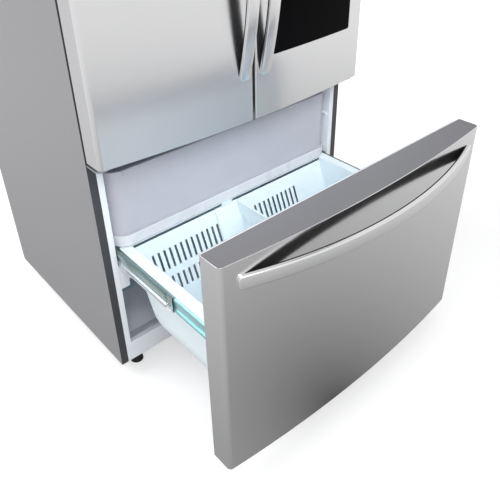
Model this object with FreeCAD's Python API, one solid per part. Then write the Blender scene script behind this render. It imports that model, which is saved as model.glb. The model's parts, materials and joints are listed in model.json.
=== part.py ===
import FreeCAD, Part
import math
import os

V = FreeCAD.Vector
os.makedirs("parts", exist_ok=True)

# A bottom freezer refrigerator with two upper doors and a freezer drawer.
# All lengths are in millimetres. X runs to the right as seen from the front, Y runs to the
# back and Z runs up. The shapes are drawn with Y = 0 at the front face of the case, and
# the whole row is moved along Y when it is written, so that its base centre is the origin.

# ---- cabinet ----
CASE_W = 908.0
CASE_D = 695.0
CASE_TOP = 1742.0
CASE_BOTTOM = 50.0
SHEET = 1.0
FLANGE_W = 22.0
HEM = 10.0
LINER = 2.0
SIDE_WALL = 39.0
OPEN_HALF = CASE_W / 2 - SIDE_WALL
LIP_HALF = CASE_W / 2 - FLANGE_W
SILL_TOP = 118.0
FREEZER_TOP = 700.0
FRIDGE_FLOOR = 770.0
FRIDGE_TOP = CASE_TOP - 42.0
FRIDGE_BACK = 55.0
FRIDGE_DEPTH = CASE_D - FRIDGE_BACK
FREEZER_BACK = 47.0
FREEZER_DEPTH = CASE_D - FREEZER_BACK
STEP_BACK = 228.0
STEP_Y = FREEZER_DEPTH - STEP_BACK
STEP_TOP = 336.0
EVAP_ROOM = 58.0
COVER_Y = FREEZER_DEPTH - EVAP_ROOM
LIP_SPLIT = 733.0
BASE_TOP = 62.0
BASE_PLATE = 4.0
MACHINE_TOP = 290.0
RAIL_Y0 = 6.0
RAIL_LOW = 402.0
RAIL_LEN = STEP_Y + 10.0
BOSS_LOW = 323.0
BOSS_STEP = 346.0
BOSS_W = 28.0
BOSS_SHELF = 9.0
BOSS_ROUND = 4.0

# ---- doors and drawer front ----
SEAL_GAP = 8.0
DOOR_T = 62.0
BOW = 28.0
CORNER_R = 12.0
INNER_R = 5.0
CENTRE_GAP = 9.0
DOOR_BOTTOM = 745.0
DOOR_TOP = CASE_TOP - 4.0
DRAWER_TOP = 722.0
DRAWER_BOTTOM = 98.0
DRAWER_OPEN = 436.0
BACK_LIP = 9.0
LINER_MARGIN = 4.0
SEAL_W = 14.0
SEAL_CLEAR = 0.4
CAP_T = 10.0

# ---- handles ----
GRIP_OUT = 57.0
GRIP_H = 34.0
GRIP_T = 11.0
GRIP_ROUND = 3.5
GRIP_SINK = 20.0
GRIP_END = 5.0
GRIP_TIP = 9.0
DRAWER_GRIP_HALF = CASE_W / 2 - 40.0
DRAWER_GRIP_Z = 668.0
DOOR_GRIP_LOW = DOOR_BOTTOM + 120.0
DOOR_GRIP_HIGH = DOOR_TOP - 103.0
DOOR_GRIP_HALF = (DOOR_GRIP_HIGH - DOOR_GRIP_LOW) / 2
DOOR_GRIP_Z = (DOOR_GRIP_HIGH + DOOR_GRIP_LOW) / 2
DOOR_GRIP_X = 35.0

# ---- hinges ----
PIN_IN = 20.0
PIN_FORWARD = 32.0
PIN_R = 6.0
RUN_CLEAR = 0.05
PLATE_T = 4.0
SEAT_CLEAR = 0.2

HALF = CASE_W / 2
BOW_R = (HALF ** 2 + BOW ** 2) / (2 * BOW)
BOW_Y = BOW_R - (SEAL_GAP + DOOR_T + BOW)
FRONT_REACH = DRAWER_OPEN + SEAL_GAP + DOOR_T + BOW + GRIP_OUT
Y_SHIFT = (FRONT_REACH - CASE_D) / 2
PIN_X = HALF - PIN_IN
PIN_Y = -(SEAL_GAP + PIN_FORWARD)


# ---- helpers ----
def box(x0, y0, z0, x1, y1, z1):
    return Part.makeBox(x1 - x0, y1 - y0, z1 - z0, V(x0, y0, z0))


def cyl(x, y, z, r, length, axis=V(0, 0, 1)):
    return Part.makeCylinder(r, length, V(x, y, z), axis)


def prism(points, along):
    wire = Part.makePolygon(points + [points[0]])
    return Part.Face(wire).extrude(along)


def prism_x(yz, x0, x1):
    return prism([V(x0, y, z) for y, z in yz], V(x1 - x0, 0, 0))


def prism_y(xz, y0, y1):
    return prism([V(x, y0, z) for x, z in xz], V(0, y1 - y0, 0))


def prism_z(xy, z0, z1):
    return prism([V(x, y, z0) for x, y in xy], V(0, 0, z1 - z0))


def fuse(shapes):
    first = shapes[0]
    if len(shapes) == 1:
        return first
    return first.multiFuse(shapes[1:]).removeSplitter()


def cut(shape, tools):
    for tool in tools:
        shape = shape.cut(tool)
    return shape


def mirror_x(shape):
    return shape.mirror(V(0, 0, 0), V(1, 0, 0))


def moved(shape, dx=0, dy=0, dz=0):
    copy = shape.copy()
    copy.translate(V(dx, dy, dz))
    return copy


def along(edge, axis):
    a = edge.Vertexes[0].Point
    b = edge.Vertexes[-1].Point
    d = b - a
    if d.Length < 1e-6:
        return False
    d.normalize()
    return abs(abs(d.dot(axis)) - 1) < 1e-4


def round_edges(shape, r, axis, test):
    picked = [e for e in shape.Edges if along(e, axis) and test(e.CenterOfMass)]
    return shape.makeFillet(r, picked)


def bow_y(x, inset=0.0):
    r = BOW_R - inset
    return BOW_Y - math.sqrt(r * r - x * x)


def panel(x0, x1, y_back, z0, z1, r0, r1, inset=0.0):
    """A slab with the bowed front, with its outer skin moved in by inset."""
    xa = x0 + inset
    xb = x1 - inset
    xm = (xa + xb) / 2
    a = V(xa, bow_y(xa, inset), z0)
    b = V(xb, bow_y(xb, inset), z0)
    front = Part.Arc(a, V(xm, bow_y(xm, inset), z0), b).toShape()
    back_b = V(xb, y_back, z0)
    back_a = V(xa, y_back, z0)
    edges = [front, Part.makeLine(b, back_b), Part.makeLine(back_b, back_a)]
    edges.append(Part.makeLine(back_a, a))
    solid = Part.Face(Part.Wire(edges)).extrude(V(0, 0, z1 - z0))
    up = V(0, 0, 1)
    for x, r in ((xa, r0 - inset), (xb, r1 - inset)):
        if r > 0.5:
            y = bow_y(x, inset)
            solid = round_edges(
                solid, r, up, lambda c, x=x, y=y: abs(c.x - x) < 0.01 and abs(c.y - y) < 0.01
            )
    return solid


def ring_y(x0, z0, x1, z1, w, y0, y1, r=0.0):
    """A picture-frame ring in the X-Z plane."""
    outer = box(x0, y0, z0, x1, y1, z1)
    inner = box(x0 + w, y0 - 1, z0 + w, x1 - w, y1 + 1, z1 - w)
    if r > 0:
        outer = round_edges(outer, r, V(0, 1, 0), lambda c: True)
    return outer.cut(inner)


def tray(x0, x1, y0, y1, z0, z1, wall, floor, r):
    """An open-topped tray with rounded upright corners."""
    up = V(0, 0, 1)
    outer = round_edges(box(x0, y0, z0, x1, y1, z1), r, up, lambda c: True)
    inner = box(x0 + wall, y0 + wall, z0 + floor, x1 - wall, y1 - wall, z1 + 1)
    inner = round_edges(inner, max(r - wall, 1), up, lambda c: True)
    return outer.cut(inner)


def save(name, shape):
    solid = moved(shape, 0, Y_SHIFT, 0)
    solid.exportStep("parts/" + name + ".step")


# ---- outer case ----
def outer_case():
    top_r = 8.0
    yaxis = V(0, 1, 0)

    def hoop(inset, y0, y1, low):
        b = box(-HALF + inset, y0, low, HALF - inset, y1, CASE_TOP - inset)
        return round_edges(b, top_r - inset, yaxis, lambda c: c.z > CASE_TOP - inset - 1)

    skin = hoop(0, 0, CASE_D - SHEET, CASE_BOTTOM)
    skin = skin.cut(hoop(SHEET, -1, CASE_D, CASE_BOTTOM - 1))
    face = hoop(0, 0, SHEET, CASE_BOTTOM)
    opening = box(-LIP_HALF, -1, CASE_BOTTOM - 1, LIP_HALF, 2, CASE_TOP - FLANGE_W)
    face = face.cut(opening)
    hem = box(-LIP_HALF - SHEET, 0, BASE_TOP, LIP_HALF + SHEET, HEM, CASE_TOP - FLANGE_W + SHEET)
    hem = hem.cut(box(-LIP_HALF, -1, BASE_TOP - 1, LIP_HALF, HEM + 1, CASE_TOP - FLANGE_W))
    return fuse([skin, face, hem])


case = outer_case()


def hinge_slot():
    x0 = -HALF + 1.5
    return box(x0, -60, LIP_SPLIT - 2, x0 + 54, 20, LIP_SPLIT + 2)


slots = [hinge_slot(), mirror_x(hinge_slot())]
case_out = cut(case, slots)

# ---- liners ----
SHELF_Z = (1180.0, 1430.0)
CRISPER_COVER_Z = 975.0
LEDGE_W = 14.0
LEDGE_H = 8.0
CLEAR_RUNNER_Z = 600.0


def fridge_liner():
    r = 20.0
    inner = box(-OPEN_HALF, -5, FRIDGE_FLOOR, OPEN_HALF, FRIDGE_DEPTH, FRIDGE_TOP)
    edges = [
        e
        for e in inner.Edges
        if along(e, V(0, 1, 0)) or e.CenterOfMass.y > FRIDGE_DEPTH - 1
    ]
    inner = inner.makeFillet(r, edges)
    x = OPEN_HALF + LINER
    z0 = FRIDGE_FLOOR - LINER
    z1 = FRIDGE_TOP + LINER
    outer = box(-x, 0, z0, x, FRIDGE_DEPTH + LINER, z1)
    edges = [
        e
        for e in outer.Edges
        if along(e, V(0, 1, 0)) or e.CenterOfMass.y > FRIDGE_DEPTH
    ]
    outer = outer.makeFillet(r + LINER, edges)
    lip = box(-LIP_HALF, 0, LIP_SPLIT, LIP_HALF, LINER, CASE_TOP - FLANGE_W)
    shell = fuse([outer, lip]).cut(inner)
    ledges = []
    for z in SHELF_Z + (CRISPER_COVER_Z,):
        left = prism_y(
            [
                (-OPEN_HALF - 1, z),
                (-OPEN_HALF + LEDGE_W, z),
                (-OPEN_HALF + LEDGE_W, z - LEDGE_H * 0.4),
                (-OPEN_HALF - 1, z - LEDGE_H * 1.6),
            ],
            100,
            FRIDGE_DEPTH - 30,
        )
        ledges += [left, mirror_x(left)]
    shell = fuse([shell] + ledges)
    return shell, outer


FLOOR_YZ = [
    (0, SILL_TOP),
    (14, SILL_TOP),
    (60, 95),
    (STEP_Y - 184, 95),
    (STEP_Y - 170, 122),
    (STEP_Y - 90, 122),
    (STEP_Y, STEP_TOP),
    (FREEZER_DEPTH, STEP_TOP),
    (FREEZER_DEPTH, FREEZER_TOP),
    (0, FREEZER_TOP),
]


def rail_boss():
    """The stepped ledge moulded under the left rail."""
    wall = -OPEN_HALF - 1
    step = -OPEN_HALF + BOSS_W
    shelf = step + BOSS_SHELF
    low = box(wall, LINER, BOSS_LOW, step, STEP_Y - 4 * LINER, BOSS_STEP + 1)
    high = box(wall, LINER, BOSS_STEP, shelf, RAIL_Y0 + RAIL_LEN, RAIL_LOW - SEAT_CLEAR)
    low = round_edges(low, BOSS_ROUND, V(0, 1, 0), lambda c: c.x > step - 1 and c.z < BOSS_LOW + 1)
    high = round_edges(high, BOSS_ROUND, V(0, 1, 0), lambda c: c.x > shelf - 1 and c.z < BOSS_STEP + 1)
    return fuse([low, high])


def freezer_liner():
    front = [(-30, SILL_TOP)] + FLOOR_YZ[1:-1] + [(-30, FREEZER_TOP)]
    inner = prism_x(front, -OPEN_HALF, OPEN_HALF)
    wire = Part.makePolygon([V(0, y, z) for y, z in front + front[:1]])
    grown = Part.Face(wire).makeOffset2D(LINER, 2)
    x = OPEN_HALF + LINER
    outer = moved(grown.extrude(V(2 * x, 0, 0)), -x)
    outer = outer.common(box(-x, 0, 0, x, CASE_D, CASE_TOP))
    lip = box(-LIP_HALF, 0, CASE_BOTTOM, LIP_HALF, LINER, LIP_SPLIT)
    shell = fuse([outer, lip]).cut(inner)
    runner = prism_y(
        [
            (-OPEN_HALF - 1, CLEAR_RUNNER_Z),
            (-OPEN_HALF + 5.5, CLEAR_RUNNER_Z),
            (-OPEN_HALF + 5.5, CLEAR_RUNNER_Z - 4),
            (-OPEN_HALF - 1, CLEAR_RUNNER_Z - 10),
        ],
        10,
        COVER_Y - 30,
    )
    boss = rail_boss()
    shell = fuse([shell, runner, mirror_x(runner), boss, mirror_x(boss)])
    return shell, outer


fridge_shell, fridge_outer = fridge_liner()
freezer_shell, freezer_outer = freezer_liner()
freezer_shell = cut(freezer_shell, slots)
fridge_shell = cut(fridge_shell, slots)

# ---- insulating foam ----
FOOT_X = HALF - 67.0
FOOT_Y = 36.0
FOOT_BOSS_R = 14.0
machine_space = prism_x(
    [(STEP_Y - 65, BASE_TOP - 1), (STEP_Y + 30, MACHINE_TOP)]
    + [(CASE_D, MACHINE_TOP), (CASE_D, BASE_TOP - 1)],
    -HALF + 30,
    HALF - 30,
)


def cabinet_foam():
    block = box(
        -HALF + SHEET, SHEET, BASE_TOP, HALF - SHEET, CASE_D - SHEET, CASE_TOP - SHEET
    )
    block = round_edges(block, 7.0, V(0, 1, 0), lambda c: c.z > CASE_TOP - 2)
    front = box(-LIP_HALF, 0, BASE_TOP - 1, LIP_HALF, LINER, CASE_TOP - FLANGE_W)
    tools = [front, case, fridge_outer, freezer_outer, machine_space] + slots
    for side in (-1, 1):
        tools.append(cyl(side * FOOT_X, FOOT_Y, BASE_TOP - 1, 8.0, 24))
    return cut(block, tools)


foam = cabinet_foam()

save("outer_case", case_out)
save("fridge_liner", fridge_shell)
save("freezer_liner", freezer_shell)
save("cabinet_foam", foam)


# ---- back panel and rear machine cover ----
def back_panel():
    sheet = box(-HALF, CASE_D - SHEET, MACHINE_TOP + 10, HALF, CASE_D, CASE_TOP)
    return sheet


def machine_cover():
    plate = box(-HALF, CASE_D - SHEET, BASE_TOP, HALF, CASE_D, MACHINE_TOP + 10)
    middle = HALF / 2
    reach = HALF / 2 - 107
    vents = []
    for side in (-1, 1):
        x = side * middle
        for row in range(9):
            z = BASE_TOP + 38 + row * 18
            vents.append(box(x - reach, CASE_D - 5, z, x + reach, CASE_D + 5, z + 7))
    vents.append(cyl(0, CASE_D - 5, 120, 16.0, 10, V(0, 1, 0)))
    return cut(plate, vents)


save("back_panel", back_panel())
save("machine_cover", machine_cover())

# ---- base frame, feet and rear rollers ----
STUD_R = 5.0
WHEEL_R = 22.0
WHEEL_W = 20.0
WHEEL_X = HALF - 53.0
WHEEL_Y = CASE_D - 55.0
AXLE_R = 4.0


def base_frame():
    w = HALF - SHEET
    parts = [box(-w, 2, BASE_TOP - BASE_PLATE, w, CASE_D - SHEET, BASE_TOP)]
    parts.append(box(-LIP_HALF, LINER, 48, LIP_HALF, FOOT_Y + FOOT_BOSS_R, BASE_TOP))
    for side in (-1, 1):
        x = side * (w - 12)
        parts.append(box(min(x, side * w), 2, CASE_BOTTOM, max(x, side * w), CASE_D - 2, 60))
        parts.append(cyl(side * FOOT_X, FOOT_Y, 44, FOOT_BOSS_R, 14))
        for ear in (-1, 1):
            ex = side * WHEEL_X + ear * (WHEEL_W / 2 + 3.5)
            plate = prism_x(
                [
                    (WHEEL_Y - 26, 60),
                    (WHEEL_Y - 10, WHEEL_R - 10),
                    (WHEEL_Y + 10, WHEEL_R - 10),
                    (WHEEL_Y + 26, 60),
                ],
                ex - 1.5,
                ex + 1.5,
            )
            parts.append(plate)
        parts.append(
            cyl(side * WHEEL_X - WHEEL_W / 2 - 5, WHEEL_Y, WHEEL_R, AXLE_R, WHEEL_W + 10, V(1, 0, 0))
        )
    frame = fuse(parts)
    for side in (-1, 1):
        frame = frame.cut(cyl(side * FOOT_X, FOOT_Y, 30, STUD_R + RUN_CLEAR, 60))
    return frame


def levelling_foot(side):
    x = side * FOOT_X
    outline = [
        V(0, 0, 0),
        V(17, 0, 0),
        V(20, 0, 3),
        V(19, 0, 11),
        V(15, 0, 19),
        V(10, 0, 24),
        V(9, 0, 34),
        V(STUD_R, 0, 34),
        V(STUD_R, 0, 82),
        V(STUD_R - 1, 0, 83),
        V(0, 0, 83),
    ]
    wire = Part.makePolygon(outline + [outline[0]])
    solid = Part.Face(wire).revolve(V(0, 0, 0), V(0, 0, 1), 360)
    return moved(solid, x, FOOT_Y, 0)


def rear_roller(side):
    x = side * WHEEL_X
    half = WHEEL_W / 2
    outline = [
        V(-half, AXLE_R + RUN_CLEAR, 0),
        V(-half, 10, 0),
        V(-half + 3, 11, 0),
        V(-half + 3, WHEEL_R - 5, 0),
        V(-half, WHEEL_R - 3, 0),
        V(-half + 2, WHEEL_R, 0),
        V(half - 2, WHEEL_R, 0),
        V(half, WHEEL_R - 3, 0),
        V(half - 3, WHEEL_R - 5, 0),
        V(half - 3, 11, 0),
        V(half, 10, 0),
        V(half, AXLE_R + RUN_CLEAR, 0),
    ]
    wire = Part.makePolygon(outline + [outline[0]])
    solid = Part.Face(wire).revolve(V(0, 0, 0), V(1, 0, 0), 360)
    return moved(solid, x, WHEEL_Y, WHEEL_R)


save("base_frame", base_frame())
for word, side in (("left", -1), ("right", 1)):
    save("foot_" + word, levelling_foot(side))
    save("roller_" + word, rear_roller(side))

# ---- machine compartment ----
COMP_X = HALF - 214.0
COMP_Y = CASE_D - 105.0
FAN_X = -40.0
FAN_Y = CASE_D - 125.0
FAN_Z = 160.0
SHAFT_R = 3.0


def compressor():
    r = 74.0
    low = BASE_TOP + 14
    outline = [
        V(0, 0, low),
        V(r - 18, 0, low),
        V(r - 6, 0, low + 12),
        V(r - 2, 0, low + 30),
        V(r, 0, low + 80),
        V(r + 3, 0, low + 81),
        V(r + 3, 0, low + 88),
        V(r, 0, low + 89),
        V(r - 4, 0, low + 120),
        V(r - 16, 0, low + 145),
        V(r - 40, 0, low + 158),
        V(0, 0, low + 162),
    ]
    wire = Part.makePolygon(outline + [outline[0]])
    can = Part.Face(wire).revolve(V(0, 0, 0), V(0, 0, 1), 360)
    parts = [can, box(-95, -62, low, 95, 62, low + 3)]
    for sx in (-1, 1):
        for sy in (-1, 1):
            parts.append(cyl(sx * 82, sy * 50, BASE_TOP, 11.0, 17))
    parts.append(box(r - 8, -24, low + 40, r + 24, 24, low + 92))
    parts.append(cyl(-r + 20, 0, low + 120, 5.0, 50))
    parts.append(cyl(-r + 4, -20, low + 60, 4.0, 40, V(-1, 0, 0)))
    return moved(fuse(parts), COMP_X, COMP_Y)


def pipe_x(y, z, r, x0, x1, sides=8):
    """A thin pipe along X, with few sides."""
    ring = []
    for i in range(sides):
        t = 2 * math.pi * (i + 0.5) / sides
        ring.append(V(x0, y + r * math.cos(t), z + r * math.sin(t)))
    return prism(ring, V(x1 - x0, 0, 0))


def condenser():
    x0 = -HALF + 74
    x1 = FAN_X - 50
    y0 = FAN_Y - 65
    y1 = FAN_Y + 65
    z0 = BASE_TOP
    z1 = FAN_Z + 85
    parts = []
    fins = 15
    for i in range(fins):
        x = x0 + (x1 - x0) * i / (fins - 1)
        low = z0 if i in (0, fins - 1) else z0 + 12
        parts.append(box(x - 1, y0, low, x + 1, y1, z1))
    rows = 3
    cols = 3
    for i in range(cols):
        for j in range(rows):
            y = y0 + 24 + i * (y1 - y0 - 48) / (cols - 1)
            z = z0 + 38 + j * 55
            parts.append(pipe_x(y, z, 5.0, x0 - 8, x1 + 8))
    body = fuse(parts)
    sx = FAN_X - 12
    plate = box(sx - 3, FAN_Y - 85, z0, sx, FAN_Y + 85, z1)
    plate = plate.cut(cyl(sx - 5, FAN_Y, FAN_Z, 68, 12, V(1, 0, 0)))
    arms = [box(sx - 3, FAN_Y - 75, FAN_Z - 4, sx, FAN_Y + 75, FAN_Z + 4)]
    arms.append(box(sx - 3, FAN_Y - 4, FAN_Z - 75, sx, FAN_Y + 4, FAN_Z + 75))
    motor = cyl(sx - 26, FAN_Y, FAN_Z, 20, 26, V(1, 0, 0))
    shaft = cyl(sx, FAN_Y, FAN_Z, SHAFT_R, 34, V(1, 0, 0))
    ties = [box(x1, FAN_Y - 60, z0, sx - 1, FAN_Y - 56, z0 + 30)]
    ties.append(box(x1, FAN_Y + 56, z0, sx - 1, FAN_Y + 60, z0 + 30))
    return fuse([body, plate, motor, shaft] + arms + ties)


def fan(r_tip, hub_r, depth, blades):
    """A fan along +X, with its hub face at x = 0."""
    hub = cyl(0, 0, 0, hub_r, depth, V(1, 0, 0))
    parts = [hub]
    for i in range(blades):
        inner = Part.makePolygon(
            [
                V(1, hub_r - 3, -5),
                V(depth - 1, hub_r - 3, 5),
                V(depth + 1, hub_r - 3, 5),
                V(3, hub_r - 3, -5),
                V(1, hub_r - 3, -5),
            ]
        )
        outer = Part.makePolygon(
            [
                V(0, r_tip, -22),
                V(depth - 4, r_tip, 16),
                V(depth - 2, r_tip, 16),
                V(2, r_tip, -22),
                V(0, r_tip, -22),
            ]
        )
        blade = Part.makeLoft([inner, outer], True, True)
        blade.rotate(V(0, 0, 0), V(1, 0, 0), i * 360.0 / blades)
        parts.append(blade)
    wheel = fuse(parts)
    return wheel.cut(cyl(-5, 0, 0, SHAFT_R + RUN_CLEAR, depth + 20, V(1, 0, 0)))


save("compressor", compressor())
save("condenser", condenser())
save("condenser_fan", moved(fan(60, 16, 22, 5), FAN_X - 8, FAN_Y, FAN_Z))

# ---- cold side ----
COLD_FAN_Z = FREEZER_TOP - 80.0


def evaporator():
    x0 = -OPEN_HALF + 155
    x1 = OPEN_HALF - 155
    z0 = STEP_TOP + 44
    parts = []
    fins = 18
    for i in range(fins):
        x = x0 + (x1 - x0) * i / (fins - 1)
        back = FREEZER_DEPTH if i in (0, 6, 11, fins - 1) else FREEZER_DEPTH - 4
        parts.append(box(x - 0.8, COVER_Y + 10, z0, x + 0.8, back, z0 + 165))
    for i in range(2):
        for j in range(5):
            y = COVER_Y + 22 + i * 24
            parts.append(pipe_x(y, z0 + 16 + j * 33, 4.2, x0 - 8, x1 + 8))
    return fuse(parts)


def evaporator_cover():
    x = OPEN_HALF - 1
    plate = box(-x, COVER_Y, STEP_TOP, x, COVER_Y + 3, FREEZER_TOP)
    foot = box(-x, COVER_Y + 3, STEP_TOP, x, COVER_Y + 16, STEP_TOP + 3)
    motor = cyl(0, COVER_Y + 2, COLD_FAN_Z, 20, 18, V(0, 1, 0))
    shaft = cyl(0, COVER_Y + 18, COLD_FAN_Z, SHAFT_R, 24, V(0, 1, 0))
    vents = []
    y0 = COVER_Y - 5
    y1 = COVER_Y + 8
    for side in (-1, 1):
        middle = side * OPEN_HALF / 2
        for row in range(3):
            z = COLD_FAN_Z - 30 + row * 22
            vents.append(box(middle - 90, y0, z, middle + 90, y1, z + 10))
        for k in range(8):
            x = middle - 84 + k * 22
            vents.append(box(x, y0, STEP_TOP + 16, x + 10, y1, STEP_TOP + 36))
    return cut(fuse([plate, foot, motor, shaft]), vents)


def cold_fan():
    wheel = fan(52, 14, 16, 5)
    wheel.rotate(V(0, 0, 0), V(0, 0, 1), 90)
    return moved(wheel, 0, COVER_Y + 22, COLD_FAN_Z)


def fridge_air_duct():
    y0 = FRIDGE_DEPTH - 26
    z0 = CRISPER_COVER_Z + 25
    z1 = FRIDGE_TOP - 30
    outline = [(-110, FRIDGE_DEPTH), (-100, y0 + 4), (-80, y0), (80, y0), (100, y0 + 4)]
    outline.append((110, FRIDGE_DEPTH))
    tower = prism_z(outline, z0, z1)
    behind = FRIDGE_DEPTH + 1
    core = [(-96, behind), (-88, y0 + 4), (88, y0 + 4), (96, behind)]
    tower = tower.cut(prism_z(core, z0 + 4, z1 - 4))
    vents = []
    levels = [CRISPER_COVER_Z + 85]
    for z in SHELF_Z:
        levels += [z + 60, z + 140]
    for level in levels:
        for k in range(3):
            z = level + k * 14
            vents.append(box(-60, y0 - 5, z, 60, y0 + 8, z + 6))
    return cut(tower, vents)


def fridge_lamp():
    z = FRIDGE_TOP
    return prism_y([(-180, z), (-168, z - 8), (168, z - 8), (180, z)], 60, 112)


save("evaporator", evaporator())
save("evaporator_cover", evaporator_cover())
save("evaporator_fan", cold_fan())
save("fridge_air_duct", fridge_air_duct())
save("fridge_lamp", fridge_lamp())

# ---- shelves and crispers ----
GLASS_T = 5.0
SHELF_FRONT = 110.0
SHELF_BACK = FRIDGE_DEPTH - 32.0
CRISPER_FRONT = SHELF_FRONT + 2.0


def shelf(z):
    x = OPEN_HALF - 2
    pane = box(-x, SHELF_FRONT, z, x, SHELF_BACK, z + GLASS_T)
    nose = box(-x, SHELF_FRONT - 6, z - 9, x, SHELF_FRONT + 4, z + GLASS_T + 4)
    nose = round_edges(nose, 4.0, V(1, 0, 0), lambda c: c.y < SHELF_FRONT)
    relief = box(-x - 1, SHELF_FRONT - 20, z - 20, -OPEN_HALF + LEDGE_W + 1, SHELF_FRONT + 5, z)
    nose = cut(nose, [relief, mirror_x(relief)])
    ridge = box(-x, SHELF_BACK - 6, z, x, SHELF_BACK, z + 14)
    return fuse([pane, nose, ridge])


def crisper(side):
    x0 = 6.0
    x1 = OPEN_HALF - 25
    y0 = CRISPER_FRONT
    z0 = FRIDGE_FLOOR + SEAT_CLEAR
    z1 = CRISPER_COVER_Z - 14
    body = tray(x0, x1, y0 + 6, SHELF_BACK - 48, z0, z1, 3.0, 3.0, 14.0)
    face = box(x0, y0, z0 + 4, x1, y0 + 9, z1)
    face = round_edges(face, 6.0, V(0, 1, 0), lambda c: True)
    grip = prism_x([(y0, z1 - 26), (y0 - 9, z1 - 20), (y0 - 9, z1), (y0, z1)], x0 + 30, x1 - 30)
    scoop = prism_x(
        [(y0 + 1, z1 - 20), (y0 - 5, z1 - 16), (y0 - 5, z1 - 5), (y0 + 1, z1 - 5)],
        x0 + 34,
        x1 - 34,
    )
    solid = fuse([body, face, grip.cut(scoop)])
    return solid if side > 0 else mirror_x(solid)


save("shelf_top", shelf(SHELF_Z[1]))
save("shelf_middle", shelf(SHELF_Z[0]))
save("crisper_cover", shelf(CRISPER_COVER_Z))
save("crisper_left", crisper(-1))
save("crisper_right", crisper(1))


# ---- door hinges, drawn for the left side ----
def top_hinge():
    z = CASE_TOP
    plate = prism_z(
        [
            (-HALF + 2, PIN_Y + 6),
            (-PIN_X - 6, PIN_Y - 12),
            (-PIN_X + 8, PIN_Y - 12),
            (-PIN_X + 22, PIN_Y + 4),
            (-HALF + 92, 24),
            (-HALF + 92, 84),
            (-HALF + 2, 84),
        ],
        z,
        z + PLATE_T,
    )
    hood = prism_z(
        [
            (-HALF + 4, PIN_Y + 8),
            (-PIN_X - 5, PIN_Y - 9),
            (-PIN_X + 7, PIN_Y - 9),
            (-PIN_X + 19, PIN_Y + 5),
            (-HALF + 86, 28),
            (-HALF + 86, 76),
            (-HALF + 4, 76),
        ],
        z + PLATE_T,
        z + 30,
    )
    top_edges = [e for e in hood.Edges if abs(e.CenterOfMass.z - z - 30) < 0.01]
    hood = hood.makeChamfer(4.0, top_edges)
    boss = cyl(-PIN_X, PIN_Y, DOOR_TOP + SEAT_CLEAR, 11.0, z - DOOR_TOP)
    pin = cyl(-PIN_X, PIN_Y, DOOR_TOP - 17, PIN_R, 24)
    return fuse([plate, hood, boss, pin])


def middle_hinge():
    z0 = LIP_SPLIT - 2
    x0 = -HALF + 1.5
    plate = prism_z(
        [(x0, 20), (x0, PIN_Y - 4), (x0 + 8, PIN_Y - 14), (x0 + 28, PIN_Y - 14)]
        + [(x0 + 54, -2), (x0 + 54, 20)],
        z0,
        z0 + PLATE_T,
    )
    boss = cyl(-PIN_X, PIN_Y, z0, 10.0, DOOR_BOTTOM - SEAT_CLEAR - z0)
    pin = cyl(-PIN_X, PIN_Y, z0, PIN_R, DOOR_BOTTOM + 16 - z0)
    return fuse([plate, boss, pin])


save("hinge_top_left", top_hinge())
save("hinge_top_right", mirror_x(top_hinge()))
save("hinge_middle_left", middle_hinge())
save("hinge_middle_right", mirror_x(middle_hinge()))

# ---- upper doors, drawn for the left side ----
DOOR_X0 = -HALF
DOOR_X1 = -CENTRE_GAP / 2
DOOR_BACK = -SEAL_GAP - LINER
DIKE_X0 = -OPEN_HALF + 10
DIKE_X1 = -60.0
DIKE_Z0 = FRIDGE_FLOOR + 20
DIKE_Z1 = FRIDGE_TOP - 12
DIKE_W = 12.0
DIKE_Y = 25.0
GLASS_X0 = 67.0
GLASS_X1 = HALF - 64.0
GLASS_Z0 = 910.0
GLASS_Z1 = DOOR_TOP - 48.0
GLASS_PANEL_T = 4.0


def pin_holes():
    top = cyl(-PIN_X, PIN_Y, DOOR_TOP - 18, PIN_R + RUN_CLEAR, 40)
    low = cyl(-PIN_X, PIN_Y, DOOR_BOTTOM - 20, PIN_R + RUN_CLEAR, 37)
    return [top, low]


def door_shell():
    outer = panel(DOOR_X0, DOOR_X1, DOOR_BACK, DOOR_BOTTOM, DOOR_TOP, CORNER_R, INNER_R)
    inner = panel(
        DOOR_X0,
        DOOR_X1,
        DOOR_BACK - SHEET,
        DOOR_BOTTOM + SHEET,
        DOOR_TOP - SHEET,
        CORNER_R,
        INNER_R,
        SHEET,
    )
    window = box(
        DOOR_X0 + BACK_LIP,
        DOOR_BACK - 5,
        DOOR_BOTTOM + BACK_LIP,
        DOOR_X1 - BACK_LIP,
        DOOR_BACK + 5,
        DOOR_TOP - BACK_LIP,
    )
    return cut(outer, [inner, window] + pin_holes()), inner, window


def door_foam(inner, window):
    plug = window.common(box(-HALF, DOOR_BACK - SHEET, 0, 0, DOOR_BACK, CASE_TOP))
    return cut(fuse([inner, plug]), pin_holes())


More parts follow.
